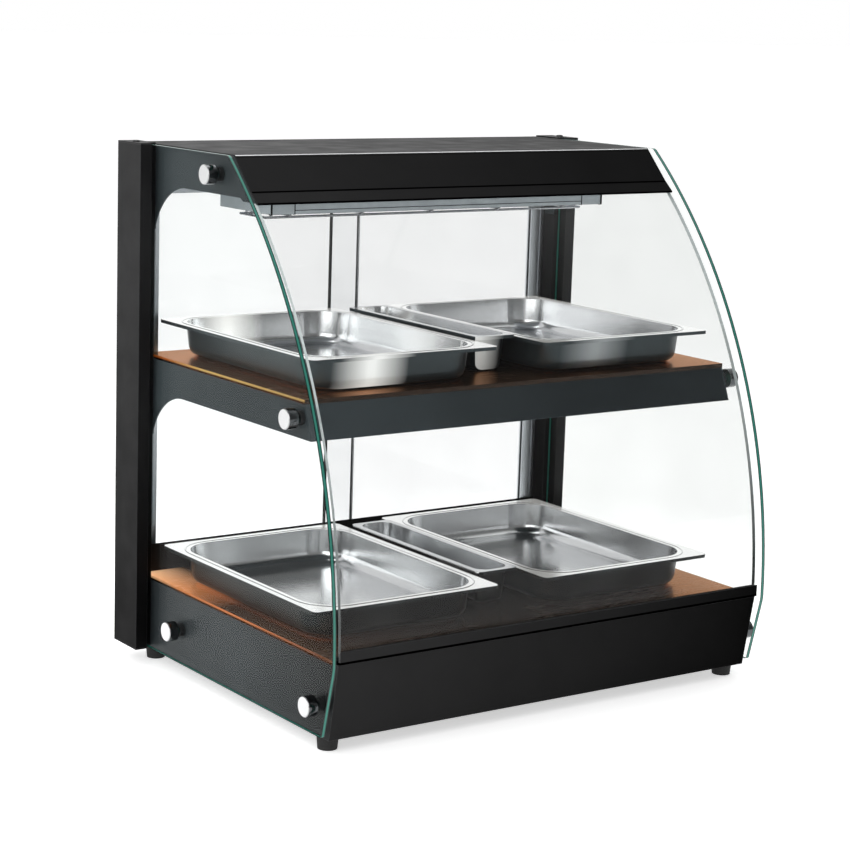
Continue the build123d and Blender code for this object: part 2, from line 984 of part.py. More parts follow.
def pan(centre_x, front, deck_z, size, deep, rim, corner):
    """Drawn steel pan with tapering walls, a flat rim and a turned-down edge."""
    place = (centre_x, front + size[1] / 2)
    top = deck_z + rest_gap + deep
    mouth = (size[0] - 2 * rim, size[1] - 2 * rim)
    opening = (mouth[0] - 2 * pan_wall, mouth[1] - 2 * pan_wall)
    bend = min(14.0, corner * 0.6)
    outer = tapered_bowl(mouth, corner, place, top, deep, bend)
    inner = tapered_bowl(opening, corner - pan_wall, place, top, deep - pan_wall, bend - pan_wall)
    with BuildPart() as shell:
        add(outer.part)
        add(inner.part, mode=Mode.SUBTRACT)
        with BuildSketch(at_z(top - pan_wall)):
            rim_outline(size, 7, place)
            with Locations(place):
                RectangleRounded(opening[0], opening[1], corner - pan_wall, mode=Mode.SUBTRACT)
        extrude(amount=pan_wall)
        with BuildSketch(at_z(top - rim_drop)):
            rim_outline(size, 7, place)
            with Locations(place):
                RectangleRounded(size[0] - 2 * pan_wall, size[1] - 2 * pan_wall, 6, mode=Mode.SUBTRACT)
        extrude(amount=rim_drop)
    return shell


def panel_screws():
    """Pan-head screws of the two rear panels."""
    spots = []
    for x in (-285, -110, 30, 285):
        spots.append((x, base_top - deck_thickness - 8))
        spots.append((x, base_bottom + sheet + 6))
    for x in (-285, 285):
        spots.append((x, (ceiling_z + hood_top_z) / 2))
    with BuildPart() as screws:
        with BuildSketch(at_y(base_rear)):
            with Locations(*spots):
                Circle(3)
        extrude(amount=-1.2)
    return screws


# ---------------------------------------------------------------- all pieces
os.makedirs("parts", exist_ok=True)

save(base_shell(), "base_shell")
save(base_bottom_plate(), "base_bottom_plate")
save(base_rear_panel(), "base_rear_panel")
save(control_recess(), "control_recess")
save(base_deck(), "base_deck")
save(heating_mat(265, (-195, 190), base_top - deck_thickness), "base_heating_mat")
save(glass_lip(), "glass_lip")
foot_names = ["foot_front_left", "foot_front_right", "foot_rear_left", "foot_rear_right"]
for name, place in zip(foot_names, foot_places()):
    save(foot(place), name)

save(thermostat_body(), "thermostat_body")
save(thermostat_shaft(), "thermostat_shaft")
save(thermostat_knob(), "thermostat_knob")
save(rocker_frames(), "rocker_frames")
save(rocker(rocker_x[0]), "power_rocker")
save(rocker(rocker_x[1]), "light_rocker")
save(pilot_lamp(), "pilot_lamp")
save(power_inlet(), "power_inlet")

save(column(-1), "column_left")
save(column(1), "column_right")
save(column_caps(), "column_caps")
save(column_screws(), "column_screws")

save(hood_shell(), "hood_shell")
save(hood_side(-1), "hood_side_left")
save(hood_side(1), "hood_side_right")
save(hood_ceiling(), "hood_ceiling")
save(hood_rear_panel(), "hood_rear_panel")
save(heater_reflector(), "heater_reflector")
save(heater_end_caps(), "heater_end_caps")
save(heater_tubes(), "heater_tubes")
save(heater_guard(), "heater_guard")

save(shelf_tray(), "shelf_tray")
save(shelf_side(-1), "shelf_side_left")
save(shelf_side(1), "shelf_side_right")
save(shelf_deck(), "shelf_deck")
save(heating_mat(265, (-120, 185), shelf_top - deck_thickness), "shelf_heating_mat")

save(side_glass(-1), "side_glass_left")
save(side_glass(1), "side_glass_right")
save(front_glass(), "front_glass")
save(glass_pins(), "glass_pins")
save(glass_spacers(), "glass_spacers")
save(pin_nuts(), "pin_nuts")

save(door_track(base_top, base_top + track_height, True), "door_track_bottom")
save(door_track(ceiling_z - track_height, ceiling_z, False), "door_track_top")
save(rear_upstand(), "rear_upstand")
save(door_pane(-1, outer_door_y), "door_left_pane")
save(door_handle(-1, outer_door_y), "door_left_handle")
save(door_seal(-1, outer_door_y), "door_left_seal")
save(door_pane(1, inner_door_y), "door_right_pane")
save(door_handle(1, inner_door_y), "door_right_handle")
save(door_seal(1, inner_door_y), "door_right_seal")

pan_size = (pan_width, pan_length)
trough_size = (trough_width, trough_length)
for level, deck_z, pan_x, pan_front, trough_x, trough_front in (
    ("upper", shelf_top, upper_pan_x, upper_pan_front, upper_trough_x, upper_trough_front),
    ("lower", base_top, lower_pan_x, lower_pan_front, lower_trough_x, lower_trough_front),
):
    for side, centre in zip(("left", "right"), pan_x):
        dish = pan(centre, pan_front, deck_z, pan_size, pan_depth, pan_rim, pan_corner)
        save(dish, f"pan_{level}_{side}")
    narrow = pan(trough_x, trough_front, deck_z, trough_size, trough_depth, trough_rim, trough_corner)
    save(narrow, f"trough_{level}")

save(panel_screws(), "panel_screws")
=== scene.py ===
import json
import math

import bmesh
import bpy
from mathutils import Matrix, Vector


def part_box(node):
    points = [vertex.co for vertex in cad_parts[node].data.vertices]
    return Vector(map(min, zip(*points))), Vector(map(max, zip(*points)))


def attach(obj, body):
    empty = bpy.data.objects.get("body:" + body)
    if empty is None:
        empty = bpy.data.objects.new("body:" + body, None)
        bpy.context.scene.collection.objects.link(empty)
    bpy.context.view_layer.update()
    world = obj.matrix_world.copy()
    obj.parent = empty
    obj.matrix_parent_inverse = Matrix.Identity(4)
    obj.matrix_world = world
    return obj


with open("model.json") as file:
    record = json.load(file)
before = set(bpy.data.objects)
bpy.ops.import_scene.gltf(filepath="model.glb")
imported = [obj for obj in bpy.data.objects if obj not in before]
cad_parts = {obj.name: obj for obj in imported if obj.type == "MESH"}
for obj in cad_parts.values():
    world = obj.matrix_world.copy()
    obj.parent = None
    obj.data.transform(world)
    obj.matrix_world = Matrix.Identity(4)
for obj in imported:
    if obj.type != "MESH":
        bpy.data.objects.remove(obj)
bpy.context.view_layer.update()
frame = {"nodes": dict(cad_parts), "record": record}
NODES = frame["nodes"]
scene = bpy.context.scene


# ---------------------------------------------------------------- node helpers
class Shader:
    """A material with a Principled shader and short calls for the nodes behind it."""

    def __init__(self, name):
        self.material = bpy.data.materials.new(name)
        self.material.use_nodes = True
        self.tree = self.material.node_tree
        self.tree.nodes.clear()
        self.out = self.add("ShaderNodeOutputMaterial")
        self.main = self.add("ShaderNodeBsdfPrincipled")
        self.link(self.main.outputs[0], self.out.inputs["Surface"])
        self.coords = self.add("ShaderNodeTexCoord").outputs["Object"]

    def add(self, kind, **settings):
        node = self.tree.nodes.new(kind)
        for key, value in settings.items():
            setattr(node, key, value)
        return node

    def link(self, source, target):
        self.tree.links.new(source, target)

    def put(self, node, **values):
        """Sets sockets by name; underscores stand for spaces."""
        for key, value in values.items():
            socket = node.inputs[key.replace("_", " ")]
            if isinstance(value, bpy.types.NodeSocket):
                self.link(value, socket)
            else:
                socket.default_value = value
        return node

    def principled(self, **values):
        return self.put(self.main, **values)

    def stretched(self, scale):
        node = self.add("ShaderNodeMapping")
        self.link(self.coords, node.inputs["Vector"])
        node.inputs["Scale"].default_value = scale
        return node.outputs["Vector"]

    def noise(self, scale, detail=4.0, rough=0.5, stretch=(1, 1, 1), distort=0.0):
        node = self.add("ShaderNodeTexNoise")
        self.put(node, Vector=self.stretched(stretch), Scale=scale)
        self.put(node, Detail=detail, Roughness=rough, Distortion=distort)
        return node.outputs["Fac"]

    def span(self, value, low, high, start=0.0, end=1.0):
        """Maps value from start..end to low..high, clamped."""
        node = self.add("ShaderNodeMapRange")
        self.link(value, node.inputs["Value"])
        for key, number in (("From Min", start), ("From Max", end), ("To Min", low), ("To Max", high)):
            node.inputs[key].default_value = number
        return node.outputs["Result"]

    def blend(self, factor, first, second, mode="MIX"):
        node = self.add("ShaderNodeMix", data_type="RGBA", blend_type=mode)
        if isinstance(factor, bpy.types.NodeSocket):
            self.link(factor, node.inputs["Factor"])
        else:
            node.inputs["Factor"].default_value = factor
        for socket, value in ((node.inputs[6], first), (node.inputs[7], second)):
            if isinstance(value, bpy.types.NodeSocket):
                self.link(value, socket)
            else:
                socket.default_value = (*value, 1.0)
        return node.outputs[2]

    def math(self, operation, first, second=0.0, third=None):
        node = self.add("ShaderNodeMath", operation=operation)
        for index, value in enumerate((first, second, third)):
            if value is None:
                continue
            if isinstance(value, bpy.types.NodeSocket):
                self.link(value, node.inputs[index])
            else:
                node.inputs[index].default_value = value
        return node.outputs[0]

    def ramp(self, value, stops):
        node = self.add("ShaderNodeValToRGB")
        self.link(value, node.inputs["Fac"])
        points = node.color_ramp.elements
        while len(points) < len(stops):
            points.new(0.5)
        for point, (place, colour) in zip(points, stops):
            point.position = place
            point.color = (*colour, 1.0)
        return node.outputs["Color"]

    def bump(self, height, strength, distance=0.001, after=None):
        node = self.add("ShaderNodeBump")
        self.put(node, Height=height, Strength=strength, Distance=distance)
        if after is not None:
            self.link(after, node.inputs["Normal"])
        return node.outputs["Normal"]

    def rounded(self, radius):
        """Normals that run round the edges, as a folded or machined edge does."""
        node = self.add("ShaderNodeBevel", samples=4)
        node.inputs["Radius"].default_value = radius
        return node.outputs["Normal"]

    def edges(self, radius):
        """1 on folded and cut edges, 0 on flat faces."""
        turn = self.add("ShaderNodeVectorMath", operation="DOT_PRODUCT")
        self.link(self.rounded(radius), turn.inputs[0])
        self.link(self.add("ShaderNodeNewGeometry").outputs["True Normal"], turn.inputs[1])
        return self.span(turn.outputs["Value"], 1.0, 0.0, 0.93, 0.992)

    def axes(self):
        node = self.add("ShaderNodeSeparateXYZ")
        self.link(self.coords, node.inputs[0])
        return node.outputs

    def normal_axes(self):
        facing = self.add("ShaderNodeNewGeometry").outputs["Normal"]
        node = self.add("ShaderNodeSeparateXYZ")
        self.link(facing, node.inputs[0])
        return node.outputs


def shaded(colour, factor):
    """The same colour made lighter or darker, kept below white."""
    return tuple(min(1.0, part * factor) for part in colour)


JOINT_SHADOW = (0.0003, 0.0003, 0.0003)
MICRO = 0.0001


def powder_coat(
    name, colour, rough=0.42, painted_edge_highlight=6.0, specular=0.2, painted_top_light=None, painted_side_light=None, painted_falloff=None,
    edge=0.0009, foot_z=None,
):
    """Powder-coated sheet: fine orange peel, slow random tone changes, painted shade falloff and painted
    highlights on folded edges.

    The painted shade falloff argument is (axis, start, end, factor): painted shade takes the coat's tone and
    specular level from 1 at start to factor at end.
    The top and side tones are painted light on the faces that look up and sideways, the side light painted
    darker towards the front. Below foot_z the sheet is nearly black: a painted shadow of a joint.
    """
    s = Shader(name)
    cloud = s.noise(9, detail=5)
    peel = s.noise(2400, detail=2, rough=0.6)
    tone = s.blend(s.span(cloud, 0, 1, 0.3, 0.7), shaded(colour, 0.88), shaded(colour, 1.12))
    # Painted shade: the tone falls off along one axis.
    if painted_falloff:
        axis, start, end, factor = painted_falloff
        dim = s.span(s.axes()[axis], 1.0, factor, start, end)
        grey = s.add("ShaderNodeCombineColor")
        for socket in grey.inputs[:3]:
            s.link(dim, socket)
        tone = s.blend(1.0, tone, grey.outputs[0], "MULTIPLY")
    # Painted light on faces that look up.
    if painted_top_light:
        level = s.span(s.normal_axes()["Z"], 0, 1, 0.85, 0.95)
        tone = s.blend(level, tone, painted_top_light)
    # Painted light on faces that look sideways, painted darker towards the front.
    if painted_side_light:
        upright = s.span(s.math("ABSOLUTE", s.normal_axes()["X"]), 0, 1, 0.85, 0.95)
        forward = s.span(s.axes()["Y"], 0, 1, -0.02, -0.22)
        tone = s.blend(upright, tone, s.blend(forward, painted_side_light, shaded(painted_side_light, 0.15)))
    speck = s.span(peel, 0, 0.06, 0.5, 0.75)
    tone = s.blend(speck, tone, shaded(colour, 1.8))
    # Painted highlight on folded and cut edges.
    tone = s.blend(s.edges(edge), tone, shaded(colour, painted_edge_highlight))
    # The painted shade falloff lowers the specular level too.
    if painted_falloff:
        specular = s.math("MULTIPLY", dim, specular)
    if foot_z:
        lit = s.math("GREATER_THAN", s.axes()["Z"], foot_z)
        tone = s.blend(lit, JOINT_SHADOW, tone)
        specular = s.math("MULTIPLY", lit, specular)
    s.principled(Base_Color=tone, Specular_IOR_Level=specular)
    s.principled(Roughness=s.span(s.noise(30, detail=6), rough * 0.88, rough * 1.12, 0.3, 0.7))
    s.principled(Normal=s.bump(peel, 0.014, MICRO, s.rounded(edge)))
    return s


BRUSH_DEPTH = 0.00006
BRUSH_STRETCH = {"X": (0.02, 1, 1), "Y": (1, 0.02, 1), "Z": (1, 1, 0.02)}


def brushed(name, colour, rough, along="X", metallic=1.0, bite=0.05, edge=0.0006, rim=0.45):
    """Metal with fine brushing along one axis, soft smears and a dark line where sheets end."""
    s = Shader(name)
    lines = s.noise(1500, detail=3, rough=0.7, stretch=BRUSH_STRETCH[along])
    smear = s.noise(14, detail=4, distort=0.6)
    tone = s.blend(s.span(lines, 0, 1, 0.3, 0.7), shaded(colour, 1 - 0.07), colour)
    tone = s.blend(s.span(smear, 0, 0.2, 0.35, 0.75), tone, shaded(colour, 0.8))
    tone = s.blend(s.math("MULTIPLY", s.edges(edge), 0.8), tone, shaded(colour, rim))
    s.principled(Base_Color=tone, Metallic=metallic)
    fine = s.span(lines, -0.03, 0.03, 0.3, 0.7)
    broad = s.span(smear, rough * 0.85, rough * 1.2, 0.3, 0.7)
    s.principled(Roughness=s.math("ADD", fine, broad))
    s.principled(Normal=s.bump(lines, bite, BRUSH_DEPTH, s.rounded(edge)))
    return s


def moulded(name, colour, rough=0.5, grain=1600, bite=0.12, specular=0.4, edge=0.0007):
    """Moulded plastic or rubber with a fine spark-eroded grain."""
    s = Shader(name)
    cells = s.noise(grain, detail=3, rough=0.65)
    dust = s.noise(40, detail=6)
    tone = s.blend(s.span(dust, 0, 1, 0.35, 0.75), shaded(colour, 0.85), shaded(colour, 1.25))
    s.principled(Base_Color=tone, Roughness=s.span(cells, rough * 0.85, rough * 1.2, 0.3, 0.7))
    s.principled(Specular_IOR_Level=specular, Normal=s.bump(cells, bite, MICRO, s.rounded(edge)))
    return s


def chrome_pin():
    """Cap screw: brushed bright face; round its rim a mirror side painted dark, a painted reflection of the
    dark plate.
    """
    s = Shader("pin_chrome")
    away = s.math("ABSOLUTE", s.normal_axes()["X"])
    face = s.span(away, 0, 1, 0.6, 0.9)
    turned = s.noise(900, detail=3, rough=0.7)
    bright = s.blend(s.span(turned, 0, 1, 0.3, 0.7), (0.70, 0.71, 0.71), (0.78, 0.78, 0.78))
    # Painted reflection: the side round the face is painted dark.
    s.principled(Base_Color=s.blend(face, (0.10, 0.105, 0.11), bright), Metallic=1.0)
    s.principled(Roughness=s.span(face, 0.14, 0.30, 0.0, 1.0))
    s.principled(Normal=s.bump(turned, 0.03, 0.00005, s.rounded(0.0007)))
    return s


GLASS_IOR = 1.45
HALF_GLASS = 0.0025


def clear_glass(name, tint, edge_colour, faces="X", mirror=1.0, haze=0.0, core=None, low_tone=None):
    """Clear pane: a tinted see-through film with a mirror reflection, and dense cut edges.

    faces names the way that the clear faces look; all other faces are cut edges. With core, the
    edge has another colour in the middle of the pane's thickness: core is (colour, distance of that middle
    in X). With low_tone, the edge takes that colour towards its lower end.
    """
    s = Shader(name)
    smudge = s.noise(7, detail=6, distort=0.8)
    film = s.add("ShaderNodeBsdfTransparent")
    s.link(s.blend(s.span(smudge, 0, 1, 0.35, 0.7), tint, shaded(tint, 0.985)), film.inputs["Color"])
    painted_highlight = s.add("ShaderNodeBsdfGlossy")
    s.put(painted_highlight, Color=(1, 1, 1, 1), Roughness=s.span(smudge, 0.0, 0.03, 0.4, 0.8))
    away = s.add("ShaderNodeLayerWeight")
    away.inputs["Blend"].default_value = 0.5
    head_on = ((GLASS_IOR - 1) / (GLASS_IOR + 1)) ** 2
    glance = s.math("POWER", away.outputs["Facing"], 5.0)
    amount = s.math("MULTIPLY", s.math("MULTIPLY_ADD", glance, 1 - head_on, head_on), mirror)
    if haze:
        amount = s.math("ADD", amount, s.span(smudge, 0.0, haze, 0.35, 0.8))
    pane = s.add("ShaderNodeMixShader")
    s.link(amount, pane.inputs[0])
    s.link(film.outputs[0], pane.inputs[1])
    s.link(painted_highlight.outputs[0], pane.inputs[2])
    grind = s.noise(500, detail=3, rough=0.6)
    cut = s.blend(s.span(grind, 0, 1, 0.3, 0.7), edge_colour, shaded(edge_colour, 1.3))
    if core:
        colour, middle = core
        off = s.math("ABSOLUTE", s.math("SUBTRACT", s.math("ABSOLUTE", s.axes()["X"]), middle))
        cut = s.blend(s.span(off, 1, 0, HALF_GLASS * 0.35, HALF_GLASS * 0.75), cut, colour)
    if low_tone:
        cut = s.blend(s.span(s.axes()["Z"], 1, 0, 0.15, 0.42), cut, low_tone)
    s.principled(Base_Color=cut, Roughness=s.span(grind, 0.14, 0.30, 0.3, 0.7), Specular_IOR_Level=0.4)
    s.principled(Transmission_Weight=0.0, Normal=s.bump(grind, 0.05, MICRO))
    across = s.math("ABSOLUTE", s.normal_axes()[faces[-1]])
    if faces.startswith("not"):
        is_edge = s.math("GREATER_THAN", across, 0.8)
    else:
        is_edge = s.math("LESS_THAN", across, 0.5)
    whole = s.add("ShaderNodeMixShader")
    s.link(is_edge, whole.inputs[0])
    s.link(pane.outputs[0], whole.inputs[1])
    s.link(s.main.outputs[0], whole.inputs[2])
    s.link(whole.outputs[0], s.out.inputs["Surface"])
    return s


# ---------------------------------------------------------------- materials
BETWEEN_LEVELS = 0.24
LOWER_DECK_TOP = 0.106
UPPER_DECK_TOP = 0.377
DECK_HALF = 0.299
# Copper colour with painted reflections: light towards left and right, dark in the middle.
DECK_COLOUR_AND_PAINTED_REFLECTIONS = [
    (0.0, (0.66, 0.42, 0.29)), (0.14, (0.40, 0.24, 0.16)), (0.35, (0.13, 0.075, 0.045)),
    (0.75, (0.16, 0.09, 0.055)), (0.9, (0.42, 0.27, 0.19)), (1.0, (0.62, 0.42, 0.31)),
]
UPPER_GLOW = [
    (0.0, (0.08, 0.02, 0.004)), (0.10, (0.60, 0.15, 0.03)), (0.3, (0.88, 0.62, 0.20)),
    (0.8, (0.72, 0.50, 0.18)), (1.0, (0.2, 0.13, 0.06)),
]
LOWER_GLOW = [
    (0.0, (0.85, 0.48, 0.26)), (0.2, (0.85, 0.30, 0.09)), (0.5, (0.85, 0.28, 0.09)),
    (0.8, (0.32, 0.12, 0.06)), (1.0, (0.10, 0.05, 0.03)),
]


def copper_deck():
    """Heated deck plates: copper-brown enamel with painted reflections, light towards left and right and
    dark in the middle, and a left edge with a painted warm glow.
    """
    s = Shader("copper_enamel")
    axes = s.axes()
    facing = s.normal_axes()
    lines = s.noise(1100, detail=3, rough=0.7, stretch=(0.03, 1, 1))
    cloud = s.noise(5.5, detail=4, distort=0.5)
    # Painted reflections across the deck: light towards left and right, dark in the middle.
    across = s.span(axes["X"], 0, 1, -DECK_HALF, DECK_HALF)
    ends = s.ramp(across, DECK_COLOUR_AND_PAINTED_REFLECTIONS)
    base = s.blend(s.span(cloud, 0, 0.5, 0.3, 0.72), ends, (0.20, 0.11, 0.07))
    base = s.blend(s.span(lines, 0, 0.12, 0.35, 0.7), base, (0.62, 0.40, 0.28))
    front = s.math("LESS_THAN", facing["Y"], -0.6)
    base = s.blend(front, base, (0.012, 0.010, 0.009))
    s.principled(Metallic=s.span(front, 0.9, 0.0, 0.0, 1.0), Specular_Tint=(0.80, 0.50, 0.34, 1.0))
    fine = s.span(lines, -0.02, 0.03, 0.3, 0.7)
    s.principled(Roughness=s.math("ADD", fine, s.span(cloud, 0.20, 0.28, 0.3, 0.7)))
    s.principled(Normal=s.bump(lines, 0.03, BRUSH_DEPTH, s.rounded(0.0006)))
    # Emission on the cut left edge stands in for warm light; its colour changes from back to front.
    is_upper = s.math("GREATER_THAN", axes["Z"], BETWEEN_LEVELS)
    deck_top = s.math("MULTIPLY_ADD", is_upper, UPPER_DECK_TOP - LOWER_DECK_TOP, LOWER_DECK_TOP)
    below_top = s.math("SUBTRACT", deck_top, axes["Z"])
    faces_left = s.math("LESS_THAN", facing["X"], -0.6)
    side = s.math("MULTIPLY", faces_left, s.span(below_top, 1, 0, 0.0015, 0.0032))
    run = s.span(axes["Y"], 0, 1, 0.20, -0.23)
    glow = s.blend(is_upper, s.ramp(run, LOWER_GLOW), s.ramp(run, UPPER_GLOW))
    # Emission on the lower deck's rear left corner does the same.
    at_left = s.span(axes["X"], 1, 0, -DECK_HALF, -0.245)
    at_back = s.span(axes["Y"], 0, 1, 0.02, 0.19)
    corner = s.math("MULTIPLY", at_left, at_back)
    corner = s.math("MULTIPLY", corner, s.math("LESS_THAN", axes["Z"], BETWEEN_LEVELS))
    corner = s.math("MULTIPLY", corner, s.math("GREATER_THAN", facing["Z"], 0.6))
    strength = s.math("ADD", s.math("MULTIPLY", side, 0.62), s.math("MULTIPLY", corner, 1.15))
    s.principled(Emission_Color=glow, Emission_Strength=strength)
    s.principled(Base_Color=s.blend(faces_left, base, (0.03, 0.012, 0.006)))
    return s


def galvanised():
    """Zinc-coated sheet: blue-grey, with faint flakes and dark joints."""
    s = brushed("galvanised_sheet", (0.47, 0.50, 0.54), 0.40, along="X")
    flakes = s.add("ShaderNodeTexVoronoi")
    s.put(flakes, Vector=s.coords, Scale=90.0)
    flake = s.span(flakes.outputs["Distance"], 0, 0.5, 0.1, 0.8)
    tone = s.blend(flake, (0.50, 0.555, 0.585), (0.40, 0.45, 0.48))
    tone = s.blend(s.edges(0.0013), tone, (0.04, 0.045, 0.05))
    s.principled(Base_Color=tone, Metallic=0.55)
    return s


LEFT_PAN_MIDDLE = -0.1635
LEFT_PAN_END = -0.03
RIGHT_PAN_MIDDLE = 0.1525
RIGHT_PAN_START = 0.03
TROUGH_MIDDLE = -0.004
PAN_MIDDLE_Y = 0.016
RIM_HEIGHT = 0.0402


def pan_steel():
    """Deep-drawn stainless steel: bright rim with dark edges, outer walls painted dark as a painted
    reflection, with one painted highlight.
    """
    s = brushed("pan_steel", (0.76, 0.77, 0.78), 0.19, along="Y", edge=0.0008, bite=0.012)
    axes = s.axes()
    facing = s.normal_axes()
    past_left = s.math("GREATER_THAN", axes["X"], LEFT_PAN_END)
    past_trough = s.math("GREATER_THAN", axes["X"], RIGHT_PAN_START)
    middle = s.math("MULTIPLY_ADD", past_left, TROUGH_MIDDLE - LEFT_PAN_MIDDLE, LEFT_PAN_MIDDLE)
    middle = s.math("MULTIPLY_ADD", past_trough, RIGHT_PAN_MIDDLE - TROUGH_MIDDLE, middle)
    off_x = s.math("SUBTRACT", axes["X"], middle)
    off_y = s.math("SUBTRACT", axes["Y"], PAN_MIDDLE_Y)
    outward = s.math("ADD", s.math("MULTIPLY", off_x, facing["X"]), s.math("MULTIPLY", off_y, facing["Y"]))
    steep = s.math("LESS_THAN", s.math("ABSOLUTE", facing["Z"]), 0.75)
    wall = s.math("MULTIPLY", s.math("GREATER_THAN", outward, 0.0), steep)
    # Painted highlight: one broad highlight stands left of the middle of each front wall.
    reach = s.math("ABSOLUTE", s.math("ADD", off_x, 0.035))
    painted_highlight = s.math("MULTIPLY", s.span(reach, 1, 0, 0.004, 0.05), s.math("LESS_THAN", facing["Y"], -0.5))
    upper = s.math("GREATER_THAN", axes["Z"], BETWEEN_LEVELS)
    # Painted reflection: the outer walls are painted dark, less dark on the upper level.
    painted_wall_reflection = s.blend(upper, (0.016, 0.019, 0.020), (0.055, 0.068, 0.073))
    painted_highlight_tone = s.blend(upper, (0.05, 0.058, 0.060), (0.40, 0.43, 0.44))
    dark = s.blend(painted_highlight, painted_wall_reflection, painted_highlight_tone)
    bright = s.main.inputs["Base Color"].links[0].from_socket
    s.principled(Base_Color=s.blend(wall, bright, dark))
    s.principled(Metallic=s.span(wall, 1.0, 0.6, 0.0, 1.0), Specular_IOR_Level=0.25)
    # Emission stands in for light on the flat rims and on the front walls of the upper left pan and trough.
    rim_z = s.math("MULTIPLY_ADD", upper, UPPER_DECK_TOP - LOWER_DECK_TOP, LOWER_DECK_TOP + RIM_HEIGHT)
    level = s.math("LESS_THAN", s.math("ABSOLUTE", s.math("SUBTRACT", axes["Z"], rim_z)), 0.0006)
    level = s.math("MULTIPLY", level, s.math("GREATER_THAN", facing["Z"], 0.9))
    on_left = s.span(axes["X"], 0.72, 0.0, 0.03, 0.06)
    wall_light = s.math("MULTIPLY", s.math("MULTIPLY", painted_highlight, upper), on_left)
    lit = s.math("ADD", s.math("MULTIPLY", level, 0.32), wall_light)
    s.principled(Emission_Color=(0.98, 0.97, 0.93, 1.0), Emission_Strength=lit)
    satin = s.main.inputs["Roughness"].links[0].from_socket
    s.principled(Roughness=s.math("ADD", s.span(wall, 0.0, 0.15, 0.0, 1.0), satin))
    return s


# The falloffs, top and side tones and edge highlights given below are painted light and shade.
BLACK = powder_coat(
    "black_coat", (0.0092, 0.0092, 0.0095), rough=0.46, specular=0.12, painted_side_light=(0.030, 0.0355, 0.039),
    painted_falloff=("X", -0.30, 0.30, 0.08),
)
SHELF = powder_coat(
    "shelf_coat", (0.060, 0.073, 0.080), rough=0.46, specular=0.10, painted_edge_highlight=1.8,
    painted_falloff=("X", -0.30, 0.05, 0.42),
)
HOOD = powder_coat(
    "hood_coat", (0.0108, 0.0108, 0.0112), rough=0.46, specular=0.06, painted_top_light=(0.017, 0.017, 0.0175),
    painted_falloff=("X", -0.30, 0.20, 0.38),
)
COLUMN = powder_coat(
    "column_coat", (0.0095, 0.0095, 0.0100), rough=0.5, specular=0.16, painted_edge_highlight=5.0,
    painted_falloff=("Z", 0.50, 0.05, 0.25),
)
SIDE = powder_coat(
    "side_plate_coat", (0.045, 0.055, 0.060), rough=0.5, specular=0.08, painted_edge_highlight=2.2,
    painted_falloff=("Y", 0.16, 0.02, 0.72),
)
LIP = powder_coat(
    "lip_coat", (0.0130, 0.0130, 0.0134), specular=0.12, painted_edge_highlight=7.0,
    painted_falloff=("X", -0.30, 0.30, 0.1), foot_z=0.1078,
)
MATERIALS = {
    "black_sheet": BLACK,
    "hood_sheet": HOOD,
    "side_sheet": SIDE,
    "column_sheet": COLUMN,
    "ceiling_sheet": brushed("ceiling_steel", (0.46, 0.48, 0.51), 0.34, along="X"),
    "copper_plate": copper_deck(),
    "galvanised": galvanised(),
    "guard_steel": brushed("guard_wire_plating", (0.40, 0.41, 0.43), 0.22, along="X"),
    "quartz": clear_glass("quartz_tube", (0.97, 0.90, 0.82), (0.7, 0.6, 0.5), faces="not X", haze=0.12),
    "steel": brushed("zinc_steel", (0.62, 0.62, 0.63), 0.28, along="Z"),
    "pan_steel": pan_steel(),
    "chrome_pin": chrome_pin(),
    "side_glass": clear_glass(
        "side_glass_clear", (0.980, 0.988, 0.984), (0.003, 0.012, 0.010), mirror=0.12,
        core=((0.035, 0.20, 0.155), 0.307),
    ),
    "front_glass": clear_glass(
        "front_glass_clear", (0.935, 0.937, 0.935), (0.40, 0.44, 0.44), faces="not X", mirror=0.35,
        low_tone=(0.03, 0.035, 0.035),
    ),
    "door_glass": clear_glass(
        "door_pane_clear", (0.985, 0.988, 0.990), (0.42, 0.46, 0.48), faces="Y", mirror=0.5, haze=0.015,
    ),
    "rail_aluminium": brushed("rail_aluminium", (0.72, 0.73, 0.75), 0.30, along="X"),
    "handle_aluminium": brushed("handle_aluminium", (0.56, 0.59, 0.62), 0.34, along="Z"),
    "seal_rubber": moulded("seal_rubber", (0.012, 0.012, 0.012), rough=0.7),
    "clear_seal": moulded("clear_seal", (0.70, 0.72, 0.74), rough=0.35, specular=0.5),
    "foot_rubber": moulded("foot_rubber", (0.012, 0.012, 0.012), rough=0.72, grain=900),
    "silicone": moulded("heating_mat_silicone", (0.42, 0.14, 0.05), rough=0.6),
    "black_plastic": moulded("black_plastic", (0.016, 0.016, 0.017), rough=0.5),
    "knob_plastic": moulded("knob_plastic", (0.014, 0.014, 0.015), rough=0.42),
    "rocker_plastic": moulded("rocker_plastic", (0.013, 0.013, 0.014), rough=0.22, bite=0.03, specular=0.5),
    "spacer_plastic": moulded("spacer_plastic", (0.014, 0.014, 0.015), rough=0.4, bite=0.05),
    "lamp_lens": moulded("lamp_lens", (0.62, 0.055, 0.03), rough=0.12, bite=0.03, specular=0.7),
    "black_screw": moulded("black_oxide_screw", (0.012, 0.012, 0.013), rough=0.34, bite=0.05, specular=0.6),
}
OWN_FINISH = {"shelf_tray": SHELF, "glass_lip": LIP}
SLOT_OF = {row["node"]: row["material_slot"] for row in frame["record"]["subparts"]}
for node, obj in NODES.items():
    obj.data.materials.clear()
    obj.data.materials.append(OWN_FINISH.get(node, MATERIALS[SLOT_OF[node]]).material)


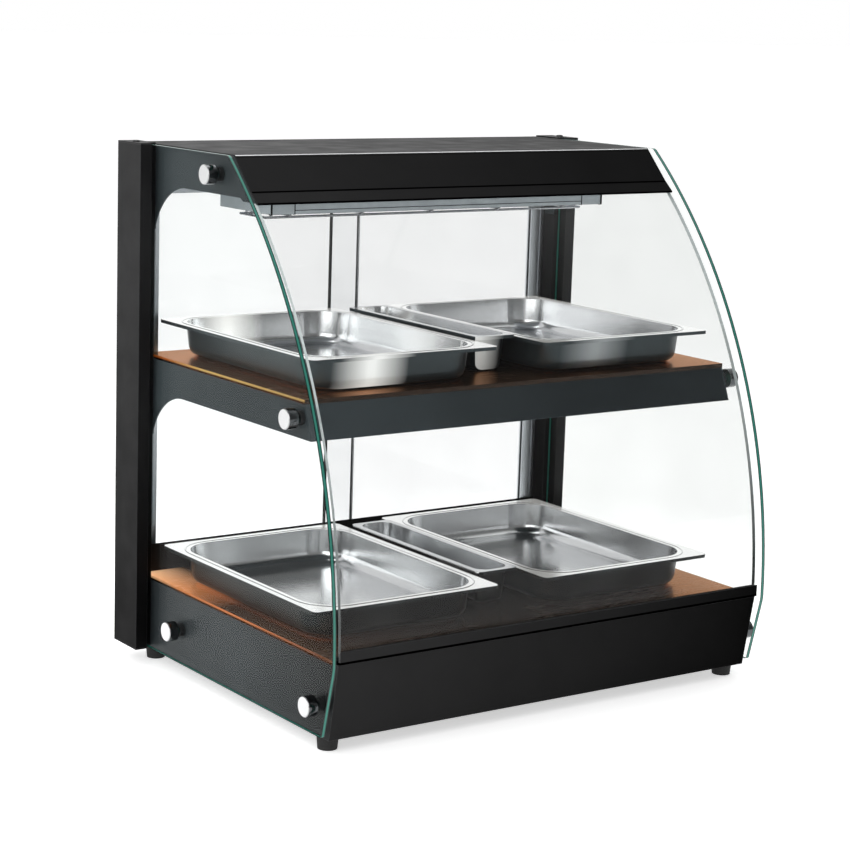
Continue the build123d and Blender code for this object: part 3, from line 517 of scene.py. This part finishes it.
# ---------------------------------------------------------------- mesh helpers
def piece(name, mesh, body, slot, material=None, smooth=False):
    """A new object that rides on a body and takes its finish from a slot."""
    obj = bpy.data.objects.new(name, mesh)
    scene.collection.objects.link(obj)
    mesh.materials.append((material or MATERIALS[slot]).material)
    for face in mesh.polygons:
        face.use_smooth = smooth
    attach(obj, body)
    return obj


def mesh_from(name, build):
    """Mesh made by build(bm)."""
    bm = bmesh.new()
    build(bm)
    bmesh.ops.recalc_face_normals(bm, faces=bm.faces)
    mesh = bpy.data.meshes.new(name)
    bm.to_mesh(mesh)
    bm.free()
    return mesh


def add_tube(bm, points, radius, sides=10, closed=False):
    """Round wire along points."""
    rings = []
    count = len(points)
    up = Vector((0, 0, 1))
    for index, point in enumerate(points):
        before = points[(index - 1) % count] if closed or index else point
        after = points[(index + 1) % count] if closed or index < count - 1 else point
        way = (Vector(after) - Vector(before)).normalized()
        side = way.cross(up)
        if side.length < 1e-3:
            side = way.cross(Vector((0, 1, 0)))
        side.normalize()
        lift = side.cross(way)
        ring = []
        for step in range(sides):
            angle = 2 * math.pi * step / sides
            reach = side * math.cos(angle) + lift * math.sin(angle)
            ring.append(bm.verts.new(Vector(point) + radius * reach))
        rings.append(ring)
    spans = count if closed else count - 1
    for index in range(spans):
        first, second = rings[index], rings[(index + 1) % count]
        for step in range(sides):
            nxt = (step + 1) % sides
            bm.faces.new((first[step], first[nxt], second[nxt], second[step]))
    if not closed:
        bm.faces.new(rings[0][::-1])
        bm.faces.new(rings[-1])


# ---------------------------------------------------------------- heater filaments
FILAMENT_TURNS = 95
FILAMENT_STEPS = 8
COIL_RADIUS = 0.0026
WIRE_RADIUS = 0.00045
FILAMENT_END_GAP = 0.012


def filament(name, y, z, half):
    """Coiled wire inside a quartz tube."""
    count = FILAMENT_TURNS * FILAMENT_STEPS
    points = []
    for step in range(count + 1):
        angle = 2 * math.pi * step / FILAMENT_STEPS
        x = -half + 2 * half * step / count
        points.append((x, y + COIL_RADIUS * math.cos(angle), z + COIL_RADIUS * math.sin(angle)))
    mesh = mesh_from(name, lambda bm: add_tube(bm, points, WIRE_RADIUS, sides=5))
    return piece(name, mesh, "case", "steel", FILAMENT, smooth=True)


FILAMENT = brushed("filament_wire", (0.55, 0.30, 0.16), 0.4, along="X")
low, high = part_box("heater_tubes")
tube_r = (high[2] - low[2]) / 2
half_length = (high[0] - low[0]) / 2 - FILAMENT_END_GAP
for number, y in enumerate((low[1] + tube_r, high[1] - tube_r), 1):
    filament(f"heater_filament_{number}", y, (low[2] + high[2]) / 2, half_length)


# ---------------------------------------------------------------- glass gasket
def gasket():
    """Thin black strip between the lip of the base and the curved glass."""
    lip_low, lip_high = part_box("glass_lip")
    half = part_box("front_glass")[1][0] - 0.001
    front = lip_low[1] + 0.0016
    top = lip_high[2]
    profile = [
        (front, top - 0.008), (front, top + 0.0004), (front + 0.00015, top + 0.0008),
        (front + 0.0004, top + 0.0009), (front + 0.00065, top + 0.0007), (front + 0.0007, top - 0.008),
    ]

    def build(bm):
        left = [bm.verts.new((-half, y, z)) for y, z in profile]
        right = [bm.verts.new((half, y, z)) for y, z in profile]
        for index in range(len(profile)):
            nxt = (index + 1) % len(profile)
            bm.faces.new((left[index], left[nxt], right[nxt], right[index]))
        bm.faces.new(left)
        bm.faces.new(right[::-1])

    piece("glass_gasket", mesh_from("glass_gasket", build), "case", "seal_rubber")


# ---------------------------------------------------------------- lines along the hood's folds: painted shade and a painted highlight
def hood_line(name, place, radius, finish):
    """Thin round line along the hood: place is how far behind and above the front bottom corner it lies."""
    low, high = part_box("hood_shell")
    half = high[0] - radius
    steps = 12
    y, z = low[1] + place[0], low[2] + place[1]
    points = [(-half + 2 * half * step / steps, y, z) for step in range(steps + 1)]
    mesh = mesh_from(name, lambda bm: add_tube(bm, points, radius, sides=10))
    piece(name, mesh, "case", "hood_sheet", finish, smooth=True)


HOOD_HEM = (0.0006, 0.0007)
HOOD_CREASE = (0.014, 0.012)
HOOD_SHADOW = (0.0484, 0.0474)
HOOD_FOLD = (0.0508, 0.0497)
# Near-black lines: painted shade along the hood's hem and crease and the heater's corners and fold, painted
# shadow under the hood's top fold, and the real joints of the heater's end caps.
SHADE_AND_JOINT_LINE = powder_coat("painted_shade_and_joint_line", (0.0006, 0.0006, 0.0007), rough=0.6, specular=0.0, painted_edge_highlight=1.2)
# Painted highlight along the fold at the hood's top front edge.
FOLD_HIGHLIGHT = brushed("painted_fold_highlight", (0.80, 0.81, 0.82), 0.45, along="X", metallic=0.0, rim=1.0)


# ---------------------------------------------------------------- pan rim beads
def rounded_loop(low, high, inset, corner, z, steps=8):
    """Points of a rounded rectangle inside a box, at height z."""
    points = []
    x0, x1 = low[0] + inset, high[0] - inset
    y0, y1 = low[1] + inset, high[1] - inset
    centres = [
        (x1 - corner, y1 - corner, 0), (x0 + corner, y1 - corner, 90),
        (x0 + corner, y0 + corner, 180), (x1 - corner, y0 + corner, 270),
    ]
    for cx, cy, start in centres:
        for step in range(steps + 1):
            angle = math.radians(start + 90 * step / steps)
            points.append((cx + corner * math.cos(angle), cy + corner * math.sin(angle), z))
    return points


BEAD_RADIUS = 0.0011
BEAD_SINK = 0.0005


def rim_bead(node, body, inset, corner):
    """Round bead sunk into the flat rim of a pan, so that part of it stands out."""
    low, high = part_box(node)
    loop = rounded_loop(low, high, inset, corner, high[2] - BEAD_SINK)
    mesh = mesh_from(f"{node}_bead", lambda bm: add_tube(bm, loop, BEAD_RADIUS, sides=10, closed=True))
    piece(f"{node}_bead", mesh, body, "pan_steel", smooth=True)


# ---------------------------------------------------------------- control marks
STROKES = 11
STROKE_START = -225
STROKE_STEP = 27
STROKE_INNER = 0.0200
STROKE_HALF_WIDTH = 0.00035
POINTER = (
    (-0.0006, 0.004), (0.0006, 0.004), (0.0006, 0.0132),
    (0.0003, 0.0139), (-0.0003, 0.0139), (-0.0006, 0.0132),
)


def control_marks():
    """Printed strokes round the thermostat and a pointer let into its knob."""
    low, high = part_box("thermostat_knob")
    centre = Vector(((low[0] + high[0]) / 2, 0, (low[2] + high[2]) / 2))
    floor_y = low[1] - 0.001 + 0.00012
    ink = moulded("mark_ink", (0.78, 0.78, 0.76), rough=0.5)

    def strokes(bm):
        for index in range(STROKES):
            angle = math.radians(STROKE_START + STROKE_STEP * index)
            long = 0.0045 if index % 5 == 0 else 0.003
            out = Vector((math.cos(angle), 0, math.sin(angle)))
            side = Vector((-out.z, 0, out.x)) * STROKE_HALF_WIDTH
            a, b = centre + out * STROKE_INNER, centre + out * (STROKE_INNER + long)
            corners = [a - side, a + side, b + side, b - side]
            base = [bm.verts.new((p.x, floor_y - 0.0001, p.z)) for p in corners]
            face = [bm.verts.new((p.x, floor_y + 0.00005, p.z)) for p in corners]
            bm.faces.new(face)
            for k in range(4):
                bm.faces.new((base[k], base[(k + 1) % 4], face[(k + 1) % 4], face[k]))

    piece("dial_strokes", mesh_from("dial_strokes", strokes), "case", "clear_seal", ink)

    def pointer(bm):
        y = high[1] + 0.00005
        ring = [(centre.x + x, centre.z + z) for x, z in POINTER]
        top = [bm.verts.new((x, y, z)) for x, z in ring]
        under = [bm.verts.new((x, y - 0.0004, z)) for x, z in ring]
        bm.faces.new(top)
        for k in range(len(ring)):
            n = (k + 1) % len(ring)
            bm.faces.new((under[k], under[n], top[n], top[k]))

    piece("knob_pointer", mesh_from("knob_pointer", pointer), "knob", "clear_seal", ink)


# ---------------------------------------------------------------- heater lines
HEATER_CAP = 0.031
JOINT_RADIUS = 0.0006
CORNER_RADIUS = 0.0011


def heater_dark_lines():
    """Dark lines on the heater: real joints where its end caps begin, and painted shade along its outer
    corners and its front wall's fold.
    """
    low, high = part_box("heater_reflector")
    front = low[1] - 0.0001
    drops = [
        (low[0], JOINT_RADIUS), (high[0], JOINT_RADIUS),
        (low[0] - HEATER_CAP, CORNER_RADIUS), (high[0] + HEATER_CAP, CORNER_RADIUS),
    ]
    bottom = low[2] - 0.0001
    for number, (x, radius) in enumerate(drops, 1):
        points = [(x, front, high[2] - 0.0005), (x, front, bottom), (x, front + 0.004, bottom)]
        mesh = mesh_from(f"heater_dark_line_{number}", lambda bm: add_tube(bm, points, radius, sides=8))
        piece(f"heater_dark_line_{number}", mesh, "case", "galvanised", SHADE_AND_JOINT_LINE, smooth=True)
    # A painted shade line along the fold of the front wall.
    fold_z = low[2] + 0.0045
    points = [(low[0] + (high[0] - low[0]) * step / 8, front, fold_z) for step in range(9)]
    mesh = mesh_from("heater_fold_shade_line", lambda bm: add_tube(bm, points, 0.0004, sides=8))
    piece("heater_fold_shade_line", mesh, "case", "galvanised", SHADE_AND_JOINT_LINE, smooth=True)


gasket()
# Painted shade lines along the hem and the crease, and a painted shadow under the top fold.
hood_line("hood_hem_shade_line", HOOD_HEM, 0.0012, SHADE_AND_JOINT_LINE)
hood_line("hood_crease_shade_line", HOOD_CREASE, 0.0015, SHADE_AND_JOINT_LINE)
hood_line("hood_shadow_line", HOOD_SHADOW, 0.0008, SHADE_AND_JOINT_LINE)
# A painted highlight along the top front fold.
hood_line("hood_fold_painted_highlight", HOOD_FOLD, 0.0011, FOLD_HIGHLIGHT)
heater_dark_lines()
for node in ("pan_upper_left", "pan_upper_right", "pan_lower_left", "pan_lower_right"):
    rim_bead(node, node.replace("pan_", "dish_"), 0.0085, 0.045)
control_marks()


# ---------------------------------------------------------------- floor, light and camera
FRONT_LIGHT = 0.22
FRONT_FADE = (-0.55, -0.05)


def stage_floor():
    s = Shader("studio_floor")
    grain = s.noise(3, detail=5)
    s.principled(Base_Color=s.blend(s.span(grain, 0, 1, 0.3, 0.7), (0.93, 0.93, 0.93), (0.95, 0.95, 0.95)))
    s.principled(Roughness=0.85, Specular_IOR_Level=0.1, Normal=s.bump(grain, 0.01))
    away = s.add("ShaderNodeVectorMath", operation="LENGTH")
    s.link(s.coords, away.inputs[0])
    # The floor's own light is weaker further away, so that the tint of glass in front of it shows.
    glow = s.span(away.outputs["Value"], 0.56, 0.29, 0.5, 1.05)
    s.principled(Emission_Color=(1.0, 1.0, 1.0, 1.0), Emission_Strength=glow)
    mesh = mesh_from("floor", lambda bm: bmesh.ops.create_grid(bm, x_segments=4, y_segments=4, size=40))
    floor = bpy.data.objects.new("floor", mesh)
    floor.location = (0, 0, -0.0004)
    scene.collection.objects.link(floor)
    mesh.materials.append(s.material)


def softbox(name, place, target, size, power):
    data = bpy.data.lights.new(name, "AREA")
    data.shape = "RECTANGLE"
    data.size, data.size_y = size
    data.energy = power
    lamp = bpy.data.objects.new(name, data)
    lamp.location = place
    lamp.rotation_euler = (Vector(target) - Vector(place)).to_track_quat("-Z", "Y").to_euler()
    scene.collection.objects.link(lamp)


def studio():
    """White surroundings, grey in front but not at the far left, and two soft lamps."""
    world = bpy.data.worlds.new("studio")
    world.use_nodes = True
    tree = world.node_tree
    background = tree.nodes["Background"]
    way = tree.nodes.new("ShaderNodeTexCoord")
    split = tree.nodes.new("ShaderNodeSeparateXYZ")
    tree.links.new(way.outputs["Generated"], split.inputs[0])

    def rise(socket, start, end, low, high):
        node = tree.nodes.new("ShaderNodeMapRange")
        node.interpolation_type = "SMOOTHSTEP"
        tree.links.new(split.outputs[socket], node.inputs["Value"])
        for key, number in (("From Min", start), ("From Max", end), ("To Min", low), ("To Max", high)):
            node.inputs[key].default_value = number
        return node.outputs["Result"]

    back = rise("Y", FRONT_FADE[0], FRONT_FADE[1], FRONT_LIGHT, 1.0)
    left = rise("X", -0.75, -0.35, 1.0, FRONT_LIGHT)
    either = tree.nodes.new("ShaderNodeMath")
    either.operation = "MAXIMUM"
    tree.links.new(back, either.inputs[0])
    tree.links.new(left, either.inputs[1])
    background.inputs["Color"].default_value = (1.0, 1.0, 1.0, 1.0)
    tree.links.new(either.outputs[0], background.inputs["Strength"])
    scene.world = world
    softbox("key", (-2.2, -1.5, 1.5), (0, 0, 0.3), (2.2, 2.0), 27)
    softbox("top", (0.0, 0.6, 2.4), (0, 0, 0.3), (1.6, 1.0), 14)


CAMERA_PLACE = (-1.55163, -2.13372, 0.79697)
CAMERA_TURN = (34.03, -10.08, 1.63)
CAMERA_LENS = 94.62
CAMERA_SHIFT = (0.0623, -0.0305)


def camera():
    """Long lens from the front left, a little above the case; the turn is yaw, pitch and roll in degrees."""
    yaw, pitch, roll = (math.radians(v) for v in CAMERA_TURN)
    way = Vector((math.sin(yaw) * math.cos(pitch), math.cos(yaw) * math.cos(pitch), math.sin(pitch)))
    level = Vector((math.cos(yaw), -math.sin(yaw), 0))
    upright = level.cross(way)
    right = level * math.cos(roll) + upright * math.sin(roll)
    up = upright * math.cos(roll) - level * math.sin(roll)
    data = bpy.data.cameras.new("camera")
    data.sensor_width = 36.0
    data.lens = CAMERA_LENS
    data.shift_x, data.shift_y = CAMERA_SHIFT
    data.clip_end = 60
    eye = bpy.data.objects.new("camera", data)
    turn = Matrix((right, up, -way)).transposed().to_4x4()
    eye.matrix_world = Matrix.Translation(CAMERA_PLACE) @ turn
    scene.collection.objects.link(eye)
    scene.camera = eye


stage_floor()
studio()
camera()
scene.view_settings.view_transform = "Standard"
